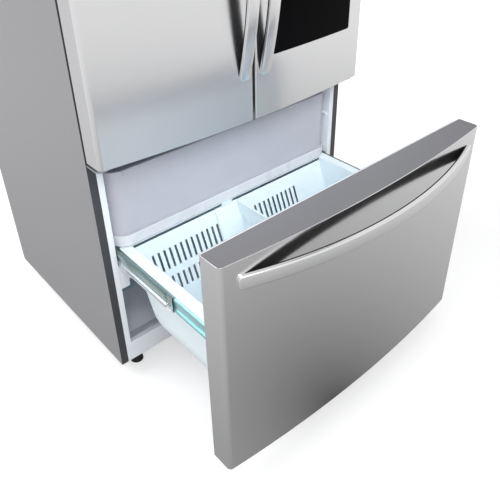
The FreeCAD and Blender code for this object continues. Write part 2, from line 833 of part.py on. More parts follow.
def door_liner(has_lugs):
    m = LINER_MARGIN
    parts = [
        box(
            DOOR_X0 + m, DOOR_BACK, DOOR_BOTTOM + m, DOOR_X1 - m, DOOR_BACK + LINER, DOOR_TOP - m
        )
    ]
    dike = ring_y(DIKE_X0, DIKE_Z0, DIKE_X1, DIKE_Z1, DIKE_W, DOOR_BACK, DIKE_Y, 18.0)
    groove = ring_y(
        DIKE_X0 + 2.5, DIKE_Z0 + 2.5, DIKE_X1 - 2.5, DIKE_Z1 - 2.5, DIKE_W - 5, -20, DIKE_Y - 3
    )
    parts.append(dike.cut(groove.common(box(-HALF, DOOR_BACK + LINER, 0, 0, DIKE_Y, CASE_TOP))))
    for z in BIN_Z:
        for x in (DIKE_X0 + DIKE_W - 1, DIKE_X1 - DIKE_W - 5):
            parts.append(box(x, DOOR_BACK, z - 10, x + 6, DIKE_Y - 4, z))
    if has_lugs:
        for z0 in (DIKE_Z0 + 2, DIKE_Z1 - 10):
            parts.append(box(DIKE_X1 - 14, 4, z0, FLIP_X + 7, 14, z0 + 8))
        parts.append(cyl(FLIP_X, FLIP_Y, DIKE_Z0 + 9, FLIP_PIN_R, 9))
        parts.append(cyl(FLIP_X, FLIP_Y, DIKE_Z1 - 18, FLIP_PIN_R, 9))
    return fuse(parts)


BIN_Z = (830.0, 1130.0)
FLIP_X = -30.0
FLIP_Y = 9.0
FLIP_PIN_R = 3.0
FLIP_REACH = 30.5


def door_gasket():
    m = LINER_MARGIN + 3
    hinge_side = -PIN_X - 3
    ring = ring_y(
        hinge_side,
        DOOR_BOTTOM + m,
        DOOR_X1 - LINER_MARGIN,
        DOOR_TOP - m,
        SEAL_W,
        -SEAL_GAP,
        -SEAL_CLEAR,
        6.0,
    )
    slit = ring_y(
        hinge_side + 4,
        DOOR_BOTTOM + m + 4,
        DOOR_X1 - LINER_MARGIN - 4,
        DOOR_TOP - m - 4,
        SEAL_W - 8,
        -SEAL_GAP - 1,
        -SEAL_GAP + 3,
    )
    return ring.cut(slit)


def door_bin(z, depth):
    x0 = DIKE_X0 + DIKE_W + 0.3
    x1 = DIKE_X1 - DIKE_W - 0.3
    h = 95.0
    body = tray(x0, x1, -SEAL_GAP + 0.3, depth, z, z + h, 3.0, 3.0, 16.0)
    low_back = box(x0 - 1, -SEAL_GAP - 1, z + 45, x1 + 1, -SEAL_GAP + 3.4, z + h + 1)
    slope = prism_x([(-SEAL_GAP, z + 60), (depth * 0.6, z + h + 1), (-SEAL_GAP, z + h + 1)], x0 - 1, x1 + 1)
    shoulder = []
    for a, b in ((x0 - 0.1, x0 + 5.7), (x1 - 5.7, x1 + 0.1)):
        shoulder.append(box(a - 1, -SEAL_GAP - 1, z - 11, b + 1, DIKE_Y - 3.7, z))
    return cut(body, [low_back, slope] + shoulder)


def grip_bar(half, y_end, y_apex, place, width, stops, tips):
    """A bowed strip between two arcs with one centre, its tips rounded seen from the front."""
    sag = y_end - GRIP_END - y_apex
    r = (half ** 2 + sag ** 2) / (2 * sag)
    turn = math.asin(half / r) + GRIP_SINK / r

    def arc(radius):
        angles = (-turn, 0, turn)
        y = y_apex + r
        ends = [place(radius * math.sin(t), y - radius * math.cos(t)) for t in angles]
        return Part.Arc(*ends).toShape(), ends[0], ends[2]

    outer, outer_start, outer_end = arc(r)
    inner, inner_start, inner_end = arc(r - GRIP_T)
    sides = [Part.makeLine(outer_start, inner_start), Part.makeLine(outer_end, inner_end)]
    wire = Part.Wire(Part.sortEdges([outer, inner] + sides)[0])
    bar = cut(Part.Face(wire), stops).Faces[0].extrude(width)
    crest = []
    for edge in bar.Edges:
        if hasattr(edge.Curve, "Radius") and abs(edge.Curve.Radius - r) < 0.01:
            crest.append(edge)
    bar = bar.makeFillet(GRIP_ROUND, crest)
    return bar.common(round_edges(tips, GRIP_TIP, V(0, 1, 0), lambda c: True))


def drawer_handle():
    low = DRAWER_GRIP_Z - GRIP_H / 2
    x = DRAWER_GRIP_HALF
    end = box(x, -HALF, low - 1, HALF * 2, HALF, low + 1)
    return grip_bar(
        x,
        bow_y(x),
        bow_y(0) - GRIP_OUT,
        lambda u, y: V(u, y, low),
        V(0, 0, GRIP_H),
        [cyl(0, BOW_Y, low - 1, BOW_R, 2), end, mirror_x(end)],
        box(-x, -HALF, low, x, HALF, low + GRIP_H),
    )


def door_handle():
    x = -DOOR_GRIP_X - GRIP_H / 2
    flat = bow_y(DOOR_GRIP_X - GRIP_H / 2)
    return grip_bar(
        DOOR_GRIP_HALF,
        flat,
        flat - GRIP_OUT,
        lambda u, y: V(x, y, DOOR_GRIP_Z + u),
        V(GRIP_H, 0, 0),
        [
            box(x - 1, flat, 0, x + 1, HALF, CASE_TOP),
            box(x - 1, -HALF, 0, x + 1, HALF, DOOR_GRIP_LOW),
            box(x - 1, -HALF, DOOR_GRIP_HIGH, x + 1, HALF, CASE_TOP),
        ],
        box(x, -HALF, DOOR_GRIP_LOW, x + GRIP_H, HALF, DOOR_GRIP_HIGH),
    )


def flipper():
    x0 = FLIP_X - 6
    x1 = FLIP_X + FLIP_REACH
    z0 = DIKE_Z0 + 10.3
    z1 = DIKE_Z1 - 10.3
    bar = box(x0, 0, z0, x1, 18, z1)
    bar = round_edges(bar, 3.0, V(0, 0, 1), lambda c: True)
    step = box(x1 - 10, 12, z0 - 1, x1 + 1, 19, z1 + 1)
    holes = [
        cyl(FLIP_X, FLIP_Y, z0 - 5, FLIP_PIN_R + RUN_CLEAR, 14),
        cyl(FLIP_X, FLIP_Y, z1 - 9, FLIP_PIN_R + RUN_CLEAR, 14),
    ]
    return cut(bar, [step] + holes)


glass_zone = box(GLASS_X0, -200, GLASS_Z0, GLASS_X1, -40, GLASS_Z1)
glass_zone = round_edges(glass_zone, 6.0, V(0, 1, 0), lambda c: True)


def right_glass():
    outer = mirror_x(panel(DOOR_X0, DOOR_X1, -50, GLASS_Z0 - 5, GLASS_Z1 + 5, CORNER_R, INNER_R))
    inner = mirror_x(
        panel(DOOR_X0, DOOR_X1, -30, GLASS_Z0 - 9, GLASS_Z1 + 9, CORNER_R, INNER_R, GLASS_PANEL_T)
    )
    return outer.cut(inner).common(glass_zone)


shell, foam_core, window = door_shell()
left_foam = door_foam(foam_core, window)
glass = right_glass()
save("left_door_shell", shell)
save("left_door_foam", left_foam)
save("left_door_liner", door_liner(True))
save("left_door_gasket", door_gasket())
save("left_door_handle", door_handle())
save("left_bin_lower", door_bin(BIN_Z[0], 60.0))
save("left_bin_upper", door_bin(BIN_Z[1], 95.0))
save("centre_flap", flipper())
glass_slab = mirror_x(panel(DOOR_X0, DOOR_X1, -50, GLASS_Z0 - 5, GLASS_Z1 + 5, CORNER_R, INNER_R))
save("right_door_shell", mirror_x(shell).cut(glass_zone.common(glass_slab)))
save("right_door_foam", cut(mirror_x(left_foam), [glass]))
save("right_door_glass", glass)
save("right_door_liner", mirror_x(door_liner(False)))
save("right_door_gasket", mirror_x(door_gasket()))
save("right_door_handle", mirror_x(door_handle()))
save("right_bin_lower", mirror_x(door_bin(BIN_Z[0], 60.0)))
save("right_bin_upper", mirror_x(door_bin(BIN_Z[1], 95.0)))

# ---- freezer drawer front, drawn closed and moved out by DRAWER_OPEN ----
DRAWER_DIKE_Y = -4.0


def drawer_wrap():
    z0 = DRAWER_BOTTOM
    z1 = DRAWER_TOP
    outer = panel(-HALF, HALF, DOOR_BACK, z0, z1, CORNER_R, CORNER_R)
    inner = panel(-HALF, HALF, DOOR_BACK - SHEET, z0 - 1, z1 + 1, CORNER_R, CORNER_R, SHEET)
    x = HALF - BACK_LIP
    window = box(-x, DOOR_BACK - 5, z0 - 1, x, DOOR_BACK + 5, z1 + 1)
    return cut(outer, [inner, window])


def drawer_cap(z0, z1):
    x = HALF - BACK_LIP
    slab = panel(-HALF, HALF, DOOR_BACK - SHEET, z0, z1, CORNER_R, CORNER_R, SHEET)
    tongue = box(-x, DOOR_BACK - SHEET - 1, z0, x, DOOR_BACK, z1)
    return fuse([slab, tongue])


def drawer_foam():
    x = HALF - BACK_LIP
    z0 = DRAWER_BOTTOM + CAP_T
    z1 = DRAWER_TOP - CAP_T
    slab = panel(-HALF, HALF, DOOR_BACK - SHEET, z0, z1, CORNER_R, CORNER_R, SHEET)
    tongue = box(-x, DOOR_BACK - SHEET - 1, z0, x, DOOR_BACK, z1)
    return fuse([slab, tongue])


def drawer_liner():
    m = LINER_MARGIN
    x = HALF - m
    plate = box(-x, DOOR_BACK, DRAWER_BOTTOM + m, x, DOOR_BACK + LINER, DRAWER_TOP - 0.5)
    dike_x = OPEN_HALF - 11
    pan_x = OPEN_HALF - 85
    low = SILL_TOP + 12
    high = FREEZER_TOP - 10
    dike = box(-dike_x, DOOR_BACK, low, dike_x, DRAWER_DIKE_Y, high)
    dike = round_edges(dike, 30.0, V(0, 1, 0), lambda c: True)
    pan = box(-pan_x, DOOR_BACK + 1, low + 60, pan_x, DRAWER_DIKE_Y + 1, high - 50)
    pan = round_edges(pan, 24.0, V(0, 1, 0), lambda c: True)
    return fuse([plate, dike.cut(pan)])


def drawer_gasket():
    m = LINER_MARGIN + 3
    x = HALF - m
    z0 = DRAWER_BOTTOM + 6
    z1 = DRAWER_TOP - 6
    ring = ring_y(-x, z0, x, z1, SEAL_W, -SEAL_GAP, -SEAL_CLEAR, 6.0)
    slit = ring_y(
        -x + 4, z0 + 4, x - 4, z1 - 4, SEAL_W - 8, -SEAL_GAP - 1, -SEAL_GAP + 3
    )
    return ring.cut(slit)


# ---- telescopic rails, drawn closed for the left side ----
RAIL_HIGH = RAIL_LOW + 52.0
RAIL_T = 2.0
MID_RATIO = 0.58
MID_OPEN = DRAWER_OPEN * MID_RATIO
BASKET_SEAT = RAIL_HIGH - 1.0


def rail_outer():
    x = -OPEN_HALF
    y1 = RAIL_Y0 + RAIL_LEN
    web = box(x, RAIL_Y0, RAIL_LOW, x + 2, y1, RAIL_HIGH)
    low = box(x, RAIL_Y0, RAIL_LOW, x + 5, y1, RAIL_LOW + RAIL_T)
    high = box(x, RAIL_Y0, RAIL_HIGH - RAIL_T, x + 5, y1, RAIL_HIGH)
    stop = box(x, y1 - 3, RAIL_LOW, x + 5, y1, RAIL_HIGH)
    return fuse([web, low, high, stop])


def rail_middle():
    x = -OPEN_HALF + 7.0
    y0 = RAIL_Y0 - 2
    y1 = y0 + RAIL_LEN - 4
    z0 = RAIL_LOW + 3
    z1 = RAIL_HIGH - 4
    web = box(x, y0, z0, x + 2, y1, z1)
    low = box(x, y0, z0, x + 8, y1, z0 + RAIL_T)
    high = box(x, y0, z1 - RAIL_T, x + 8, y1, z1)
    tongue = box(
        x - 4.5,
        y0 + 26,
        RAIL_LOW + RAIL_T + SEAT_CLEAR,
        x + 1,
        y1,
        RAIL_HIGH - RAIL_T - SEAT_CLEAR,
    )
    groove = box(x - 5, y0, RAIL_LOW + 14, x - 1.5, y1 + 1, RAIL_HIGH - 14)
    roller = cyl(x - 4.0, y0 + 12, RAIL_LOW + 14, 9.5, 5.0, V(1, 0, 0))
    return fuse([web, low, high, tongue.cut(groove), roller])


def rail_inner():
    x = -OPEN_HALF + 17.0
    y0 = DRAWER_DIKE_Y
    y1 = RAIL_Y0 + RAIL_LEN - 4
    z0 = RAIL_LOW + 18
    web = box(x - 2, y0, z0, x, y1, BASKET_SEAT)
    top = box(x - 2, y0, BASKET_SEAT - RAIL_T, x + 10, y1, BASKET_SEAT)
    low = box(x - 2, y0, z0, x + 6, y1, z0 + RAIL_T)
    mid_low = RAIL_LOW + 3 + RAIL_T
    mid_high = RAIL_HIGH - 4 - RAIL_T
    tongue = box(x - 7, y0 + 40, mid_low + SEAT_CLEAR, x - 1, y1, mid_high - SEAT_CLEAR)
    groove = box(x - 8, y0 + 20, mid_low + 8, x - 4, y1 + 1, mid_high - 8)
    plate = box(x - 4, y0, RAIL_LOW - 30, x + 40, y0 + 3, RAIL_HIGH + 26)
    gusset = prism_z([(x - 2, y0), (x + 30, y0), (x, y0 + 30), (x - 2, y0 + 30)], z0, z0 + 3)
    return fuse([web, top, low, tongue.cut(groove), plate, gusset])


# ---- basket and its divider, drawn closed ----
BASKET_TOP = BASKET_SEAT + 3.0
BASKET_FLOOR = 130.0
BASKET_HALF = OPEN_HALF - 43.0
BASKET_DRAFT = 3.0
BASKET_ROUND = 140.0
BASKET_WALL = 3.0
BACK_SLOPE = 0.42
SLOT_X0 = -BASKET_HALF + 52.0
SLOT_PITCH = 19.0
SLOT_COUNT = 30
SLOT_W = 7.0
SLOT_ROWS = ((404.0, 350.0), (330.0, 288.0))
BASKET_BACK_404 = STEP_Y - 4.0


def back_y(z):
    return BASKET_BACK_404 - (404.0 - z) * BACK_SLOPE


def basket_section(inset, y0, y1, top):
    """The basket's cross-section in X-Z, drawn over a length of Y."""
    r = BASKET_ROUND - inset
    x = -BASKET_HALF + BASKET_DRAFT + BASKET_ROUND
    z = BASKET_FLOOR + BASKET_ROUND
    slant = r * math.sqrt(0.5)
    a = V(-BASKET_HALF + inset, y0, top)
    b = V(x - r, y0, z)
    m = V(x - slant, y0, z - slant)
    d = V(x, y0, z - r)
    left = [Part.makeLine(a, b), Part.Arc(b, m, d).toShape()]

    def flip(v):
        return V(-v.x, v.y, v.z)

    right = [Part.makeLine(flip(a), flip(b)), Part.Arc(flip(b), flip(m), flip(d)).toShape()]
    base = Part.makeLine(d, flip(d))
    top_line = Part.makeLine(a, flip(a))
    wire = Part.Wire(Part.sortEdges(left + [base] + right + [top_line])[0])
    return Part.Face(wire).extrude(V(0, y1 - y0, 0))


def basket_side(inset, top):
    """The basket's outline in Y-Z, over its full width."""
    t = inset
    low = BASKET_FLOOR + t
    pts = [
        (8 + t, top),
        (12 + t, low + 24),
        (36 + t, low),
        (back_y(low) - 30 - t, low),
        (back_y(low + 16) - t, low + 16),
        (back_y(top) - t, top),
    ]
    return prism_x(pts, -HALF, HALF)


def basket():
    outer = basket_section(0, 0, RAIL_LEN, BASKET_TOP).common(basket_side(0, BASKET_TOP))
    inner = basket_section(BASKET_WALL, 0, RAIL_LEN, BASKET_TOP + 5)
    inner = inner.common(basket_side(BASKET_WALL, BASKET_TOP + 5))
    x = OPEN_HALF - 15
    rim = box(-x, 3, BASKET_SEAT, x, back_y(BASKET_TOP) + 8, BASKET_TOP)
    rim = round_edges(rim, 8.0, V(0, 0, 1), lambda c: True)
    rib_x = OPEN_HALF - 33.5
    rib = box(rib_x, 20, BASKET_SEAT - 7, rib_x + 2.5, STEP_Y, BASKET_SEAT + 1)
    body = fuse([outer, rim, rib, mirror_x(rib)])
    body = body.cut(inner)
    slots = []
    for high, low in SLOT_ROWS:
        for i in range(SLOT_COUNT):
            xc = SLOT_X0 + i * SLOT_PITCH
            slots.append(
                prism_x(
                    [
                        (back_y(high) - 12, high),
                        (back_y(high) + 12, high),
                        (back_y(low) + 12, low),
                        (back_y(low) - 12, low),
                    ],
                    xc - SLOT_W / 2,
                    xc + SLOT_W / 2,
                )
            )
    return body.cut(Part.makeCompound(slots))


def divider():
    gap = 0.6
    t = 3.0
    z_top = BASKET_TOP - 10
    floor = BASKET_FLOOR + BASKET_WALL
    z_low = floor + gap
    wall = prism_x(
        [
            (12 + BASKET_WALL + gap + 4, z_top),
            (16 + BASKET_WALL + gap + 4, z_low + 26),
            (44, z_low),
            (back_y(floor) - 36, z_low),
            (back_y(floor + 27) - 16, z_low + 18),
            (back_y(z_top) - 4.5, z_top),
        ],
        -t / 2,
        t / 2,
    )
    flange = prism_x(
        [
            (back_y(z_top) - 3.3 - gap - 2.4, z_top),
            (back_y(z_top) - 3.3 - gap, z_top),
            (back_y(floor + 37) - 3.3 - gap, floor + 37),
            (back_y(floor + 37) - 3.3 - gap - 2.4, floor + 37),
        ],
        -86,
        2,
    )
    bead = box(-3.5, 24, z_top - 5, 3.5, back_y(z_top) - 8, z_top)
    hook_y = back_y(BASKET_TOP)
    hook = box(-60, hook_y - 12.4, BASKET_TOP + 0.3, -20, hook_y + 4, BASKET_TOP + 2.6)
    stem = box(-60, hook_y - 12.4, z_top - 4, -20, hook_y - 10, BASKET_TOP + 2.6)
    slots = []
    high = z_top - 40
    low = z_top - 64
    for k in range(12):
        y = back_y(high - 6) - 22 - k * 28
        slots.append(prism_x([(y, high), (y + 6, high), (y - 8, low), (y - 14, low)], -t, t))
    return cut(fuse([wall, flange, bead, stem, hook]), slots)


# ---- clear upper drawer ----
CLEAR_HALF = OPEN_HALF - 7.0
CLEAR_LOW = BASKET_TOP + 4.0
CLEAR_TOP = FREEZER_TOP - 16.0
CLEAR_R = 44.0
CLEAR_LIP = 8.0
CLEAR_LIP_H = 33.0
CLEAR_LIP_WRAP = 28.0
CLEAR_WALL = 3.0
CLEAR_FRONT = 0.0
CLEAR_DEPTH = COVER_Y - 70.0


def clear_drawer():
    up = V(0, 0, 1)
    y = CLEAR_FRONT
    t = CLEAR_WALL
    body = tray(-CLEAR_HALF, CLEAR_HALF, y, CLEAR_DEPTH, CLEAR_LOW, CLEAR_TOP, t, t, CLEAR_R)
    sweep = prism_x(
        [(CLEAR_FRONT + 60, CLEAR_TOP + 1), (CLEAR_FRONT + 130, CLEAR_TOP - 40)]
        + [(CLEAR_DEPTH + 5, CLEAR_TOP - 40), (CLEAR_DEPTH + 5, CLEAR_TOP + 1)],
        -CLEAR_HALF - 8,
        CLEAR_HALF + 8,
    )
    body = body.cut(sweep)
    x = CLEAR_HALF
    lip_top = CLEAR_LOW + CLEAR_LIP_H
    lip = box(-x, y - CLEAR_LIP, CLEAR_LOW, x, y + 2 * CLEAR_R, lip_top)
    core = box(-x + 1, y + 1, CLEAR_LOW - 1, x - 1, y + 2 * CLEAR_R + 1, lip_top + 1)
    lip = round_edges(lip, CLEAR_R, up, lambda c: c.y < y)
    lip = lip.cut(round_edges(core, CLEAR_R - 1, up, lambda c: c.y < CLEAR_R))
    lip = lip.common(box(-x, y - CLEAR_LIP, CLEAR_LOW, x, y + CLEAR_LIP_WRAP, lip_top))
    flat = x - CLEAR_R
    rim = box(-flat, y - 3, CLEAR_TOP - 12, flat, y + 1, CLEAR_TOP)
    z = CLEAR_RUNNER_Z + SEAT_CLEAR
    runner = box(-OPEN_HALF + 1.5, 30, z, -CLEAR_HALF + 1, CLEAR_DEPTH - 20, z + 6)
    return fuse([body, lip, rim, runner, mirror_x(runner)])


out = -DRAWER_OPEN
save("drawer_shell", moved(drawer_wrap(), 0, out, 0))
save("drawer_foam", moved(drawer_foam(), 0, out, 0))
save("drawer_liner", moved(drawer_liner(), 0, out, 0))
save("drawer_gasket", moved(drawer_gasket(), 0, out, 0))
save("drawer_top_cap", moved(drawer_cap(DRAWER_TOP - CAP_T, DRAWER_TOP - 0.5), 0, out, 0))
save("drawer_bottom_cap", moved(drawer_cap(DRAWER_BOTTOM, DRAWER_BOTTOM + CAP_T), 0, out, 0))
save("drawer_handle", moved(drawer_handle(), 0, out, 0))
save("basket", moved(basket(), 0, out, 0))
save("divider", moved(divider(), 0, out, 0))
save("rail_outer_left", rail_outer())
save("rail_outer_right", mirror_x(rail_outer()))
save("rail_middle_left", moved(rail_middle(), 0, -MID_OPEN, 0))
save("rail_middle_right", moved(mirror_x(rail_middle()), 0, -MID_OPEN, 0))
save("rail_inner_left", moved(rail_inner(), 0, out, 0))
save("rail_inner_right", moved(mirror_x(rail_inner()), 0, out, 0))
save("clear_drawer", clear_drawer())
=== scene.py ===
import json
import math
import bmesh
import bpy
from mathutils import Matrix, Vector

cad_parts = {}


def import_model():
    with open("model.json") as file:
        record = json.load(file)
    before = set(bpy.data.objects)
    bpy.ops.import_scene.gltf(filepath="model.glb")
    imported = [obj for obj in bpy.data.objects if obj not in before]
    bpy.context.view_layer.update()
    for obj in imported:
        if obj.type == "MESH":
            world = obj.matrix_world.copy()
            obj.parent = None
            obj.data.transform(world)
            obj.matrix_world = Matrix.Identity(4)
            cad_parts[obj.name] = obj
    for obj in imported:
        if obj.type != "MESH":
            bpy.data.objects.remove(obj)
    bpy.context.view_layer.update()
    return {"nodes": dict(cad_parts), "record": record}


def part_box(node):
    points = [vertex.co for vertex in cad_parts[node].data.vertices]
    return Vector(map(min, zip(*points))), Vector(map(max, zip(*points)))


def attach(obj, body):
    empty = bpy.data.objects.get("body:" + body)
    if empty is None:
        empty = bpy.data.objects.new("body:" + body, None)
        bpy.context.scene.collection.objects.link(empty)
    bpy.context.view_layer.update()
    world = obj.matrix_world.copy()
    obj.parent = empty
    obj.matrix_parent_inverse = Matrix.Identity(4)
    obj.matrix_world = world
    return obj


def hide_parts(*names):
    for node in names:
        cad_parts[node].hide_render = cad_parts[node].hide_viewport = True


# Finishes, handle bars, thin trim, stage, lights and camera of the bottom freezer refrigerator.
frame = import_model()


record = frame["record"]
nodes = frame["nodes"]
SIDES = ("left", "right")

# Texture scale along x, y and z: the grain is long where the number is small.
EVEN = (1, 1, 1)
ALONG_X = (1, 60, 60)
ALONG_Y = (60, 1, 60)
ACROSS_X = (60, 1, 1)
NOISE_DETAIL = 3.0
NOISE_ROUGH = 0.55
# Noise values between which tone and roughness change.
GRAIN_LOW = 0.3
GRAIN_HIGH = 0.7
COAT_ROUGH = 0.12
RIM_SAMPLES = 6


# ---- materials ----
def new_material(name):
    """A material with an empty Principled shader."""
    mat = bpy.data.materials.new(name)
    mat.use_nodes = True
    tree = mat.node_tree
    tree.nodes.clear()
    out = tree.nodes.new("ShaderNodeOutputMaterial")
    bsdf = tree.nodes.new("ShaderNodeBsdfPrincipled")
    tree.links.new(bsdf.outputs["BSDF"], out.inputs["Surface"])
    return mat, tree, bsdf


def place_texture(tree, stretch):
    """Object coordinates, drawn out along the axis with the smallest number."""
    coord = tree.nodes.new("ShaderNodeTexCoord")
    mapping = tree.nodes.new("ShaderNodeMapping")
    mapping.inputs["Scale"].default_value = stretch
    tree.links.new(coord.outputs["Object"], mapping.inputs["Vector"])
    return mapping.outputs["Vector"]


def noise(tree, stretch, scale):
    """Fine grain, from 0 to 1."""
    tex = tree.nodes.new("ShaderNodeTexNoise")
    tex.inputs["Scale"].default_value = scale
    tex.inputs["Detail"].default_value = NOISE_DETAIL
    tex.inputs["Roughness"].default_value = NOISE_ROUGH
    tree.links.new(place_texture(tree, stretch), tex.inputs["Vector"])
    return tex.outputs["Fac"]


def span(tree, value, low, high, from_low=GRAIN_LOW, from_high=GRAIN_HIGH):
    """The value, carried from one range to another."""
    node = tree.nodes.new("ShaderNodeMapRange")
    node.inputs["From Min"].default_value = from_low
    node.inputs["From Max"].default_value = from_high
    node.inputs["To Min"].default_value = low
    node.inputs["To Max"].default_value = high
    tree.links.new(value, node.inputs["Value"])
    return node.outputs["Result"]


def colours(tree, value, stops):
    """A ramp through stops, each a place from 0 to 1 and its colour."""
    ramp = tree.nodes.new("ShaderNodeValToRGB")
    elements = ramp.color_ramp.elements
    while len(elements) < len(stops):
        elements.new(1.0)
    for element, (place, colour) in zip(elements, stops):
        element.position = place
        element.color = (*colour, 1)
    tree.links.new(value, ramp.inputs["Fac"])
    return ramp.outputs["Color"]


def bumped(tree, bsdf, value, strength, distance, edge=0.0):
    """Relief from the grain and, with an edge given, edges rounded to that radius."""
    bump = tree.nodes.new("ShaderNodeBump")
    if edge:
        rim = tree.nodes.new("ShaderNodeBevel")
        rim.samples = RIM_SAMPLES
        rim.inputs["Radius"].default_value = edge
        tree.links.new(rim.outputs["Normal"], bump.inputs["Normal"])
    bump.inputs["Strength"].default_value = strength
    bump.inputs["Distance"].default_value = distance
    tree.links.new(value, bump.inputs["Height"])
    tree.links.new(bump.outputs["Normal"], bsdf.inputs["Normal"])


def srgb(*levels):
    """A colour given as 0-255 display levels."""
    out = []
    for level in levels:
        c = level / 255
        out.append(c / 12.92 if c <= 0.04045 else ((c + 0.055) / 1.055) ** 2.4)
    return tuple(out)


def shade(colour, factor):
    """The colour made darker or lighter by a factor."""
    return tuple(min(c * factor, 1.0) for c in colour)


def finish_material(name, colour, rough, metallic=0.0, stretch=EVEN, scale=40.0,
                    spread=0.05, rough_spread=0.05, bump=0.1, depth=0.0002, coat=0.0,
                    alpha=1.0, specular=0.5, edge=0.0):
    """A finish whose tone, roughness and relief all follow one fine grain."""
    mat, tree, bsdf = new_material(name)
    grain = noise(tree, stretch, scale)
    tones = (GRAIN_LOW, shade(colour, 1 - spread)), (GRAIN_HIGH, shade(colour, 1 + spread))
    tree.links.new(colours(tree, grain, tones), bsdf.inputs["Base Color"])
    roughness = span(tree, grain, rough - rough_spread, rough + rough_spread)
    tree.links.new(roughness, bsdf.inputs["Roughness"])
    bsdf.inputs["Metallic"].default_value = metallic
    bsdf.inputs["Coat Weight"].default_value = coat
    bsdf.inputs["Coat Roughness"].default_value = COAT_ROUGH
    bsdf.inputs["Alpha"].default_value = alpha
    bsdf.inputs["Specular IOR Level"].default_value = specular
    bumped(tree, bsdf, grain, bump, depth, edge)
    return mat


RAIL_GRAIN = 8.0
RAIL_ROUGH_SPREAD = 0.05
RAIL_METALLIC = 0.55
RAIL_BUMP = 0.03
RAIL_BUMP_DEPTH = 0.00005


def painted_band_rail_material(name, bands, low_z, high_z, rough):
    """A plated rail with painted bands of light and shade along it, given from its lower edge to
    its upper one.
    """
    mat, tree, bsdf = new_material(name)
    coord = tree.nodes.new("ShaderNodeTexCoord")
    split = tree.nodes.new("ShaderNodeSeparateXYZ")
    tree.links.new(coord.outputs["Object"], split.inputs["Vector"])
    height = span(tree, split.outputs["Z"], 0.0, 1.0, low_z, high_z)
    tree.links.new(colours(tree, height, bands), bsdf.inputs["Base Color"])
    grain = noise(tree, ALONG_Y, RAIL_GRAIN)
    roughness = span(tree, grain, rough - RAIL_ROUGH_SPREAD, rough + RAIL_ROUGH_SPREAD)
    tree.links.new(roughness, bsdf.inputs["Roughness"])
    bsdf.inputs["Metallic"].default_value = RAIL_METALLIC
    bumped(tree, bsdf, grain, RAIL_BUMP, RAIL_BUMP_DEPTH)
    return mat


# Painted light and shade: bands of light and dark across the rail's height, for the lit and shaded
# faces of its folds.
RAIL_PAINTED_LIGHT_BANDS = (
    (0.0, srgb(240, 244, 248)),
    (0.1, srgb(244, 247, 250)),
    (0.15, srgb(84, 100, 102)),
    (0.2, srgb(236, 242, 246)),
    (0.36, srgb(214, 226, 230)),
    (0.42, srgb(140, 160, 160)),
    (0.58, srgb(186, 206, 204)),
    (0.66, srgb(128, 148, 148)),
    (0.82, srgb(176, 196, 196)),
    (1.0, srgb(120, 140, 140)),
)
# Painted light and shade: bands of light and dark across the inner member's web, with a dark band
# across its middle.
INNER_PAINTED_LIGHT_BANDS = (
    (0.0, srgb(166, 214, 218)),
    (0.4, srgb(178, 218, 222)),
    (0.5, srgb(58, 120, 126)),
    (0.62, srgb(160, 210, 214)),
    (1.0, srgb(192, 220, 222)),
)
# Heights between which the inner member's painted bands of light and shade run.
INNER_WEB = (0.420, 0.453)
rail_low, rail_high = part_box("rail_middle_left")

